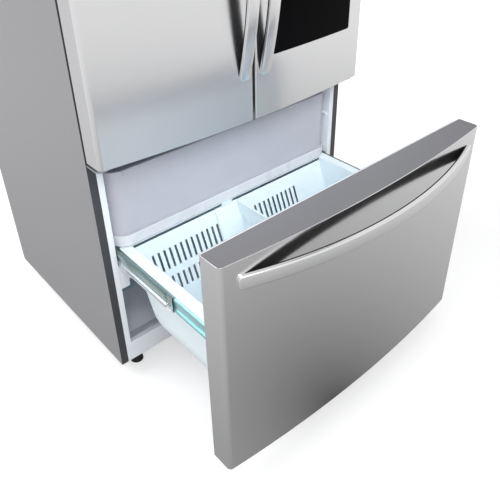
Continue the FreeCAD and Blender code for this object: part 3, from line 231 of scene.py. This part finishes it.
# ---- one material for each slot of the record ----
MATERIALS = {
    "stainless": finish_material(
        "brushed stainless", srgb(228, 228, 229), rough=0.15, metallic=0.98, stretch=ALONG_X,
        scale=12.0, spread=0.012, rough_spread=0.012, bump=0.012, depth=0.00003, edge=0.0016
    ),
    "handle_steel": finish_material(
        "brushed handle steel", srgb(240, 240, 241), rough=0.22, metallic=1.0, stretch=ALONG_X,
        scale=12.0, spread=0.012, rough_spread=0.015, bump=0.012, depth=0.00003, edge=0.0012
    ),
    "case_paint": finish_material(
        "grey enamel", srgb(150, 150, 153), rough=0.42, metallic=0.2, scale=420.0, spread=0.02,
        rough_spread=0.04, depth=0.0001
    ),
    "zinc_steel": finish_material(
        "galvanised steel", srgb(176, 179, 182), rough=0.38, metallic=0.85, scale=90.0, spread=0.08,
        rough_spread=0.08, bump=0.05, depth=0.00005
    ),
    # The rail with its painted bands of light and shade.
    "rail_steel": painted_band_rail_material("plated rail", RAIL_PAINTED_LIGHT_BANDS, rail_low[2], rail_high[2], rough=0.26),
    "white_liner": finish_material(
        "white liner plastic", srgb(238, 241, 246), rough=0.32, scale=30.0, spread=0.008,
        rough_spread=0.04, bump=0.03, depth=0.0003, edge=0.0015
    ),
    "white_basket": finish_material(
        "basket plastic", srgb(232, 244, 249), rough=0.34, scale=60.0, spread=0.01, bump=0.04,
        edge=0.0012
    ),
    "clear_plastic": finish_material(
        "clear drawer plastic", srgb(236, 236, 246), rough=0.2, scale=14.0, spread=0.02, bump=0.04,
        depth=0.0004, alpha=0.4, edge=0.0015
    ),
    "clear_bin": finish_material(
        "clear bin plastic", srgb(232, 240, 245), rough=0.14, scale=14.0, spread=0.015,
        rough_spread=0.03, bump=0.03, depth=0.0003, alpha=0.34
    ),
    "cap_grey": finish_material(
        "grey cap plastic", srgb(112, 112, 116), rough=0.5, scale=500.0, spread=0.03, bump=0.12,
        depth=0.0001, edge=0.001
    ),
    "dark_grey": finish_material(
        "dark grey plastic", srgb(70, 71, 75), rough=0.5, scale=500.0, spread=0.06, bump=0.15,
        depth=0.0001
    ),
    "grey_paint": finish_material(
        "flap grey", srgb(50, 51, 54), rough=0.5, scale=400.0, spread=0.04, depth=0.0001
    ),
    "black_plastic": finish_material(
        "black plastic", srgb(14, 14, 15), rough=0.5, scale=400.0, spread=0.1, rough_spread=0.06,
        bump=0.12, depth=0.0001, specular=0.12
    ),
    "black_paint": finish_material(
        "black enamel", srgb(26, 27, 30), rough=0.28, scale=60.0, spread=0.1, bump=0.08,
        depth=0.0003, coat=0.4
    ),
    "seal": finish_material(
        "grey gasket", srgb(172, 174, 180), rough=0.6, scale=300.0, spread=0.04, bump=0.12,
        depth=0.0001
    ),
    "foam": finish_material(
        "insulating foam", srgb(226, 205, 148), rough=0.9, scale=220.0, spread=0.1, bump=0.5,
        depth=0.0008
    ),
    "shelf_glass": finish_material(
        "shelf glass", srgb(214, 236, 232), rough=0.05, scale=8.0, spread=0.01, rough_spread=0.02,
        bump=0.01, alpha=0.3
    ),
    "black_glass": finish_material(
        "black glass", srgb(5, 5, 6), rough=0.06, scale=6.0, spread=0.1, rough_spread=0.02,
        bump=0.01, specular=0.02
    ),
    "aluminium": finish_material(
        "aluminium", srgb(205, 208, 212), rough=0.3, metallic=0.95, stretch=ACROSS_X, scale=10.0,
        rough_spread=0.06, bump=0.06, depth=0.00005
    ),
    "lamp_lens": finish_material(
        "lamp lens", srgb(244, 244, 240), rough=0.3, scale=200.0, spread=0.02, bump=0.3,
        depth=0.0004
    ),
    "foot_plastic": finish_material(
        "black foot plastic", srgb(22, 22, 24), rough=0.5, scale=400.0, spread=0.1, bump=0.12,
        depth=0.0001, specular=0.3
    ),
}

# ---- second finishes, for some or all faces of a node ----
LIP_FROST = finish_material(
    "frosted lip", srgb(244, 246, 252), rough=0.3, scale=20.0, spread=0.02, bump=0.04, depth=0.0003,
    alpha=0.75
)
# Painted shade: a dark blue-grey for the shade inside the basket's slots.
SLOT_PAINTED_SHADE = finish_material(
    "slot painted shade", srgb(24, 44, 52), rough=0.5, scale=200.0, spread=0.04, bump=0.05, depth=0.0001
)
ROLLER_WHITE = finish_material(
    "roller nylon", srgb(240, 240, 240), rough=0.35, scale=200.0, spread=0.02, bump=0.05,
    depth=0.0001
)
DOOR_STEEL = finish_material(
    "brushed door steel", srgb(224, 224, 225), rough=0.23, metallic=0.98, stretch=ALONG_X,
    scale=12.0, spread=0.012, rough_spread=0.012, bump=0.012, depth=0.00003, edge=0.0016
)
DOOR_SIDE = finish_material(
    "door side paint", srgb(186, 186, 189), rough=0.4, metallic=0.2, scale=420.0, spread=0.02,
    rough_spread=0.04, depth=0.0001, edge=0.0016
)
# Painted shade: a dark grey for the shade on the front flange of the grey case.
CASE_EDGE_PAINTED_SHADE = finish_material(
    "case edge painted shade", srgb(66, 67, 71), rough=0.45, metallic=0.1, scale=420.0, spread=0.03,
    rough_spread=0.04, bump=0.08, depth=0.0001
)
# Painted shade: a darker, bluer liner for the shade on the freezer cavity's walls.
CAVITY_PAINTED_SHADE = finish_material(
    "liner painted shade", srgb(172, 192, 208), rough=0.35, scale=30.0, spread=0.01, rough_spread=0.04,
    bump=0.03, depth=0.0003
)
# The inner member with its painted bands of light and shade.
INNER_RAIL_PAINTED_LIGHT = painted_band_rail_material("inner rail painted light bands", INNER_PAINTED_LIGHT_BANDS, *INNER_WEB, rough=0.22)

for part in record["subparts"]:
    mesh = nodes[part["node"]].data
    mesh.materials.clear()
    mesh.materials.append(MATERIALS[part["material_slot"]])
    for face in mesh.polygons:
        face.material_index = 0


def second_finish(node, material, test=None):
    """Give the faces of a CAD node that pass the test, or all of them, another finish."""
    mesh = nodes[node].data
    mesh.materials.append(material)
    for face in mesh.polygons:
        if test is None or test(face):
            face.material_index = len(mesh.materials) - 1


# Shares of a normal's length along an axis, past which a face looks that way.
HALF_WAY = 0.5
DOOR_SIDE_WAY = 0.96
SLOT_SIDE_WAY = 0.9
LIP_BACK_WAY = 0.3
LIP_UP_WAY = 0.9
ROLLER_UP_WAY = 0.95

for side, outward in (("left", -1), ("right", 1)):
    second_finish(side + "_door_shell", DOOR_STEEL)
    second_finish(side + "_door_shell", DOOR_SIDE, lambda f: f.normal.x * outward > DOOR_SIDE_WAY)

CASE_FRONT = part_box("outer_case")[0][1]
CASE_FLANGE_DEPTH = 0.0115
# Painted shade on the front-facing faces of the case's flange.
second_finish(
    "outer_case",
    CASE_EDGE_PAINTED_SHADE,
    lambda f: f.center.y < CASE_FRONT + CASE_FLANGE_DEPTH
    and (abs(f.normal.x) < HALF_WAY or f.normal.y < -HALF_WAY),
)

BASKET_LOW, BASKET_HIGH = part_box("basket")
SLOT_EDGE_IN = 0.04
SLOT_DEPTH = 0.15
# Painted shade on the side walls of the slots in the basket's back.
second_finish(
    "basket",
    SLOT_PAINTED_SHADE,
    lambda f: abs(f.normal.x) > SLOT_SIDE_WAY
    and f.center.y > BASKET_HIGH[1] - SLOT_DEPTH
    and BASKET_LOW[0] + SLOT_EDGE_IN < f.center.x < BASKET_HIGH[0] - SLOT_EDGE_IN,
)

CLEAR_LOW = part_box("clear_drawer")[0]
LIP_HEIGHT = 0.0335
LIP_WRAP = 0.036
second_finish(
    "clear_drawer",
    LIP_FROST,
    lambda f: f.center.z < CLEAR_LOW[2] + LIP_HEIGHT
    and f.center.y < CLEAR_LOW[1] + LIP_WRAP
    and f.normal.y < LIP_BACK_WAY
    and abs(f.normal.z) < LIP_UP_WAY,
)

# Painted shade on the upright walls of the cavity up to CAVITY_TOP; the floor stays white.
CAVITY_IN = 0.012
CAVITY_TOP = 0.45
second_finish(
    "freezer_liner",
    CAVITY_PAINTED_SHADE,
    lambda f: f.center.y > CASE_FRONT + CAVITY_IN
    and f.center.z < CAVITY_TOP
    and abs(f.normal.z) < HALF_WAY,
)

ROLLER_RADIUS = 0.0102
ROLLER_IN = 0.012
ROLLER_UP = 0.011
RAIL_END = 0.0005


def rail_end_finish(node):
    """The black front end of a rail member."""
    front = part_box(node)[0][1]
    second_finish(node, MATERIALS["black_plastic"], lambda f: f.center.y < front + RAIL_END)


def roller_finish(side):
    """The lower half of the roller in the front end of an intermediate member."""
    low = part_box("rail_middle_" + side)[0]
    roller_at = (low[1] + ROLLER_IN, low[2] + ROLLER_UP)
    second_finish(
        "rail_middle_" + side,
        ROLLER_WHITE,
        lambda f: math.dist(f.center.yz, roller_at) < ROLLER_RADIUS
        and f.center.z < roller_at[1]
        and abs(f.normal.z) < ROLLER_UP_WAY,
    )


for side in SIDES:
    second_finish("rail_inner_" + side, INNER_RAIL_PAINTED_LIGHT)
    rail_end_finish("rail_outer_" + side)
    rail_end_finish("rail_middle_" + side)
    roller_finish(side)


# ---- pieces added to the solids, or in place of them ----
BAR_SMOOTH = 40.0
BEAD_SMOOTH = 80.0


def add_piece(name, bm, body, slot, smooth):
    """A mesh that rides on a body, with edges sharp from the angle given in degrees."""
    mesh = bpy.data.meshes.new(name)
    bmesh.ops.recalc_face_normals(bm, faces=bm.faces)
    bm.to_mesh(mesh)
    bm.free()
    for face in mesh.polygons:
        face.use_smooth = True
    mesh.set_sharp_from_angle(angle=math.radians(smooth))
    obj = bpy.data.objects.new(name, mesh)
    bpy.context.scene.collection.objects.link(obj)
    mesh.materials.append(MATERIALS[slot])
    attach(obj, body)
    return obj


def quarter_arc(x, y, radius, quarter, steps):
    """Points of a quarter of a circle; quarter 0 goes from +x to +y."""
    points = []
    for k in range(steps + 1):
        angle = math.pi / 2 * (quarter + k / steps)
        points.append((x + radius * math.cos(angle), y + radius * math.sin(angle)))
    return points


def skin(bm, rings):
    """Close a row of rings into one solid."""
    count = len(rings[0])
    for one, two in zip(rings, rings[1:]):
        for k in range(count):
            n = (k + 1) % count
            bm.faces.new((one[k], one[n], two[n], two[k]))
    bm.faces.new(rings[0])
    bm.faces.new(rings[-1])
    return bm


# ---- handles: the bar in place of the solid, and its black back, painted shade for the bar's shaded inner side and the gap behind it ----
HANDLES = (
    ("drawer_handle", "freezer_drawer", 0),
    ("left_door_handle", "left_door", 2),
    ("right_door_handle", "right_door", 2),
)
GRIP_DEPTH = 0.011
# How far the solid goes on behind the bow at its ends, the radius of its tips and the
# least half width that is left there.
GRIP_END = 0.005
GRIP_TIP = 0.009
GRIP_LEAST = 0.001
TIP_STEPS = 8
BAR_STEPS = 72
SECTION_STEPS = 5
BAR_ROUND_BACK = 0.0015
BAR_ROUND_FRONT = 0.0035
# The black back is painted shade: a little wider than the bar and behind it, so that a dark line
# shows along the bar's edges.
BACK_SUNK = 0.0025
BACK_PROUD = 0.0008
BACK_WIDER = 0.0002
BACK_SHORTER = 0.004
BACK_ROUND = 0.0003


def rounded_section(x0, x1, y0, y1, r0, r1):
    """Corner points of a rectangle, rounded by r0 at x0 and by r1 at x1."""
    points = quarter_arc(x1 - r1, y1 - r1, r1, 0, SECTION_STEPS)
    points += quarter_arc(x0 + r0, y1 - r0, r0, 1, SECTION_STEPS)
    points += quarter_arc(x0 + r0, y0 + r0, r0, 2, SECTION_STEPS)
    points += quarter_arc(x1 - r1, y0 + r1, r1, 3, SECTION_STEPS)
    return points


def bar_stations(half):
    """Places along a bar with how much each side draws in there, for round tips."""
    flat = half - GRIP_TIP
    tip = []
    for k in range(1, TIP_STEPS + 1):
        angle = math.pi / 2 * k / TIP_STEPS
        tip.append((flat + GRIP_TIP * math.sin(angle), GRIP_TIP * (1 - math.cos(angle))))
    stations = [(-place, shrink) for place, shrink in reversed(tip)]
    for k in range(BAR_STEPS + 1):
        stations.append((-flat + 2 * flat * k / BAR_STEPS, 0.0))
    return stations + tip


def bow_bar(node, run, near, far, inset, end_in, round_back, round_front):
    """A strip along the node's bow, between two depths from the front of the bow."""
    low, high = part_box(node)
    cross = 2 - run
    half = (high[run] - low[run]) / 2
    mid = (high[run] + low[run]) / 2
    centre = (high[cross] + low[cross]) / 2
    width = (high[cross] - low[cross]) / 2 - inset
    sag = high[1] - low[1] - GRIP_END
    bow = (half ** 2 + sag ** 2) / (2 * sag)
    bm = bmesh.new()
    rings = []
    for along, shrink in bar_stations(half - end_in):
        side = max(width - shrink, GRIP_LEAST)
        turn = math.asin(along / bow)
        ring = []
        for out, across in rounded_section(-far, -near, -side, side, round_back, round_front):
            place = [0.0, low[1] + bow - (bow + out) * math.cos(turn), 0.0]
            place[run] = mid + (bow + out) * math.sin(turn)
            place[cross] = centre + across
            ring.append(bm.verts.new(place))
        rings.append(ring)
    return skin(bm, rings)


def handle_bar(node, run):
    return bow_bar(node, run, 0.0, GRIP_DEPTH, 0.0, 0.0, BAR_ROUND_BACK, BAR_ROUND_FRONT)


# The black back, painted shade for the shaded inner side of the bar.
def handle_painted_shade_back(node, run):
    near = GRIP_DEPTH - BACK_SUNK
    far = GRIP_DEPTH + BACK_PROUD
    return bow_bar(node, run, near, far, -BACK_WIDER, BACK_SHORTER, BACK_ROUND, BACK_ROUND)


for node, body, run in HANDLES:
    bar = add_piece(node + "_bar", handle_bar(node, run), body, "handle_steel", BAR_SMOOTH)
    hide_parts(node)
    # Painted shade: a black strip behind the bar.
    add_piece(node + "_back", handle_painted_shade_back(node, run), body, "black_plastic", BAR_SMOOTH)


# ---- round beads along the drawer front's upper edge and the clear drawer's lip ----
TUBE_SIDES = 8
BOW_DEPTH = 0.028
BOW_STEPS = 48
CORNER_ROUND = 0.0125
EDGE_BEAD = 0.0011
EDGE_IN = 0.0009
CLEAR_LIP_HALF = 0.408
CLEAR_CORNER = 0.044
CLEAR_STEPS = 10
CLEAR_WRAP = 0.02
CLEAR_BEAD = 0.0012
CLEAR_RISE = 0.0004


def tube(path, radius):
    """A round bead along a path of level points."""
    bm = bmesh.new()
    rings = []
    for k, point in enumerate(path):
        before = path[max(k - 1, 0)]
        after = path[min(k + 1, len(path) - 1)]
        along = (after - before).normalized()
        flat = Vector((along.y, -along.x, 0)).normalized()
        rise = along.cross(flat)
        ring = []
        for n in range(TUBE_SIDES):
            angle = 2 * math.pi * n / TUBE_SIDES
            offset = flat * math.cos(angle) + rise * math.sin(angle)
            ring.append(bm.verts.new(point + radius * offset))
        rings.append(ring)
    return skin(bm, rings)


def drawer_edge_path():
    """Points along the bowed upper edge of the drawer front, between its round corners."""
    low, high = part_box("drawer_shell")
    bow = (high[0] ** 2 + BOW_DEPTH ** 2) / (2 * BOW_DEPTH)
    end = high[0] - CORNER_ROUND
    points = []
    for k in range(BOW_STEPS + 1):
        x = -end + 2 * end * k / BOW_STEPS
        y = low[1] + bow - math.sqrt(bow ** 2 - x ** 2) + EDGE_IN
        points.append(Vector((x, y, high[2] - EDGE_IN)))
    return points


def clear_lip_path():
    """Points along the clear drawer's lip, round its two front corners."""
    half = CLEAR_LIP_HALF - CLEAR_BEAD
    radius = CLEAR_CORNER - CLEAR_BEAD
    y = CLEAR_LOW[1] + CLEAR_BEAD + radius
    z = CLEAR_LOW[2] + CLEAR_RISE
    line = [(-half, y + CLEAR_WRAP)]
    line += quarter_arc(radius - half, y, radius, 2, CLEAR_STEPS)
    line += quarter_arc(half - radius, y, radius, 3, CLEAR_STEPS)
    line.append((half, y + CLEAR_WRAP))
    return [Vector((*point, z)) for point in line]


add_piece(
    "drawer_top_edge",
    tube(drawer_edge_path(), EDGE_BEAD),
    "freezer_drawer",
    "handle_steel",
    BEAD_SMOOTH,
)
lip_bead = add_piece(
    "clear_drawer_bead",
    tube(clear_lip_path(), CLEAR_BEAD),
    "clear_drawer",
    "clear_plastic",
    BEAD_SMOOTH,
)
lip_bead.data.materials[0] = LIP_FROST


# ---- stage: a pale floor and world, with a patch of painted shade on the floor that only mirrors see, for darker reflections in the steel ----
WHITE = (1, 1, 1, 1)
FLOOR_HALF = 14.0
FLOOR_TONE = (0.62, 0.62, 0.62)
# Where the painted shade that mirrors see is darkest, below the drawer front.
MIRROR_SHADE_AT = (-0.05, -0.6, 0.0)
# Strength of the floor in mirrors, rising from the painted shade at the patch, over this reach in
# square roots of metres from the patch.
MIRROR_SHADE_STRENGTH = (0.0, 1.0)
MIRROR_SHADE_REACH = (0.0, 1.8)
# Strength added for the camera, over this reach in metres from the patch.
FLOOR_GLOW = (0.47, 1.0)
GLOW_REACH = (1.0, 3.6)
WORLD_LIGHT = 0.55
WORLD_MIRRORED = 0.85


def white_shader(tree, kind, strength=1.0):
    """A white emission or background."""
    node = tree.nodes.new(kind)
    node.inputs["Color"].default_value = WHITE
    node.inputs["Strength"].default_value = strength
    return node


def show(tree, out, lighting, seen, mirrored):
    """One shader for light, one for the camera and through glass, one in mirrors."""
    path = tree.nodes.new("ShaderNodeLightPath")
    either = tree.nodes.new("ShaderNodeMath")
    either.operation = "MAXIMUM"
    tree.links.new(path.outputs["Is Camera Ray"], either.inputs[0])
    tree.links.new(path.outputs["Is Transmission Ray"], either.inputs[1])
    straight = tree.nodes.new("ShaderNodeMixShader")
    tree.links.new(either.outputs["Value"], straight.inputs["Fac"])
    tree.links.new(lighting.outputs[0], straight.inputs[1])
    tree.links.new(seen.outputs[0], straight.inputs[2])
    every = tree.nodes.new("ShaderNodeMixShader")
    tree.links.new(path.outputs["Is Glossy Ray"], every.inputs["Fac"])
    tree.links.new(straight.outputs["Shader"], every.inputs[1])
    tree.links.new(mirrored.outputs[0], every.inputs[2])
    tree.links.new(every.outputs["Shader"], out.inputs["Surface"])


def floor_material():
    """A floor that keeps shadows and gets lighter away from the patch of painted shade that mirrors
    see.
    """
    mat = bpy.data.materials.new("floor white")
    mat.use_nodes = True
    tree = mat.node_tree
    tree.nodes.clear()
    out = tree.nodes.new("ShaderNodeOutputMaterial")
    plain = tree.nodes.new("ShaderNodeBsdfDiffuse")
    plain.inputs["Color"].default_value = (*FLOOR_TONE, 1)
    coord = tree.nodes.new("ShaderNodeTexCoord")
    far = tree.nodes.new("ShaderNodeVectorMath")
    far.operation = "DISTANCE"
    far.inputs[1].default_value = MIRROR_SHADE_AT
    tree.links.new(coord.outputs["Object"], far.inputs[0])
    lit = white_shader(tree, "ShaderNodeEmission")
    glow = span(tree, far.outputs["Value"], *FLOOR_GLOW, *GLOW_REACH)
    tree.links.new(glow, lit.inputs["Strength"])
    both = tree.nodes.new("ShaderNodeAddShader")
    tree.links.new(plain.outputs["BSDF"], both.inputs[0])
    tree.links.new(lit.outputs["Emission"], both.inputs[1])
    root = tree.nodes.new("ShaderNodeMath")
    root.operation = "SQRT"
    tree.links.new(far.outputs["Value"], root.inputs[0])
    # Painted shade for mirrors: in reflections the floor is dark at the patch below the drawer and
    # lighter further off.
    mirrored = white_shader(tree, "ShaderNodeEmission")
    strength = span(tree, root.outputs["Value"], *MIRROR_SHADE_STRENGTH, *MIRROR_SHADE_REACH)
    tree.links.new(strength, mirrored.inputs["Strength"])
    show(tree, out, plain, both, mirrored)
    return mat


def floor():
    bm = bmesh.new()
    bmesh.ops.create_grid(bm, x_segments=2, y_segments=2, size=FLOOR_HALF)
    mesh = bpy.data.meshes.new("floor")
    bm.to_mesh(mesh)
    bm.free()
    obj = bpy.data.objects.new("floor", mesh)
    bpy.context.scene.collection.objects.link(obj)
    mesh.materials.append(floor_material())


def world():
    env = bpy.data.worlds.new("studio")
    bpy.context.scene.world = env
    env.use_nodes = True
    tree = env.node_tree
    tree.nodes.clear()
    out = tree.nodes.new("ShaderNodeOutputWorld")
    lighting = white_shader(tree, "ShaderNodeBackground", WORLD_LIGHT)
    seen = white_shader(tree, "ShaderNodeBackground")
    mirrored = white_shader(tree, "ShaderNodeBackground", WORLD_MIRRORED)
    show(tree, out, lighting, seen, mirrored)


# ---- lights ----
NEUTRAL = (1, 1, 1)
COOL = (0.85, 0.95, 1.0)


def area(name, where, aim, size, power, mirrored=True, colour=NEUTRAL):
    """A lamp that the camera does not see."""
    data = bpy.data.lights.new(name, "AREA")
    data.shape = "RECTANGLE"
    data.size, data.size_y = size
    data.energy = power
    data.color = colour
    obj = bpy.data.objects.new(name, data)
    bpy.context.scene.collection.objects.link(obj)
    obj.location = where
    obj.rotation_euler = (Vector(aim) - Vector(where)).to_track_quat("-Z", "Y").to_euler()
    obj.visible_camera = False
    obj.visible_glossy = mirrored


def lights():
    area("key", where=(-2.6, 1.6, 3.8), aim=(0, -0.2, 0.6), size=(2.4, 2.4), power=90)
    area("front", where=(-1.2, -2.6, 3.0), aim=(0, -0.2, 0.5), size=(1.8, 1.8), power=55)
    area(
        "basket", where=(0.2, -0.7, 1.9), aim=(0, -0.2, 0.4), size=(0.9, 0.5), power=4,
        mirrored=False
    )
    area(
        "left", where=(-2.8, -1.4, 1.0), aim=(-0.2, -0.4, 0.3), size=(1.4, 1.4), power=12,
        mirrored=False
    )
    area(
        "cavity", where=(0.0, -0.34, 0.95), aim=(0, 0.1, 0.35), size=(0.7, 0.12), power=1.3,
        mirrored=False, colour=COOL
    )


# ---- camera, fitted to the photograph ----
CAMERA_AT = Vector((-0.97277, -1.25639, 1.43409))
CAMERA_YAW = 0.7372
CAMERA_PITCH = 0.5564
CAMERA_ROLL = -0.0044
FOCAL_PIXELS = 596.44
PHOTO_WIDTH = 500
SENSOR = 36.0
CENTRE_SHIFT = (14.0, -56.0)
CLIP_END = 60
UP = Vector((0, 0, 1))


def camera():
    data = bpy.data.cameras.new("camera")
    data.sensor_width = SENSOR
    data.lens = FOCAL_PIXELS / PHOTO_WIDTH * SENSOR
    data.shift_x = -CENTRE_SHIFT[0] / PHOTO_WIDTH
    data.shift_y = CENTRE_SHIFT[1] / PHOTO_WIDTH
    data.clip_end = CLIP_END
    obj = bpy.data.objects.new("camera", data)
    bpy.context.scene.collection.objects.link(obj)
    level = math.cos(CAMERA_PITCH)
    east = math.sin(CAMERA_YAW) * level
    north = math.cos(CAMERA_YAW) * level
    ahead = Vector((east, north, -math.sin(CAMERA_PITCH)))
    right = ahead.cross(UP).normalized()
    up = right.cross(ahead)
    cosine = math.cos(CAMERA_ROLL)
    sine = math.sin(CAMERA_ROLL)
    turn = Matrix((right * cosine + up * sine, up * cosine - right * sine, -ahead)).transposed()
    obj.matrix_world = Matrix.Translation(CAMERA_AT) @ turn.to_4x4()
    bpy.context.scene.camera = obj


floor()
world()
lights()
camera()
bpy.context.scene.view_settings.view_transform = "Standard"
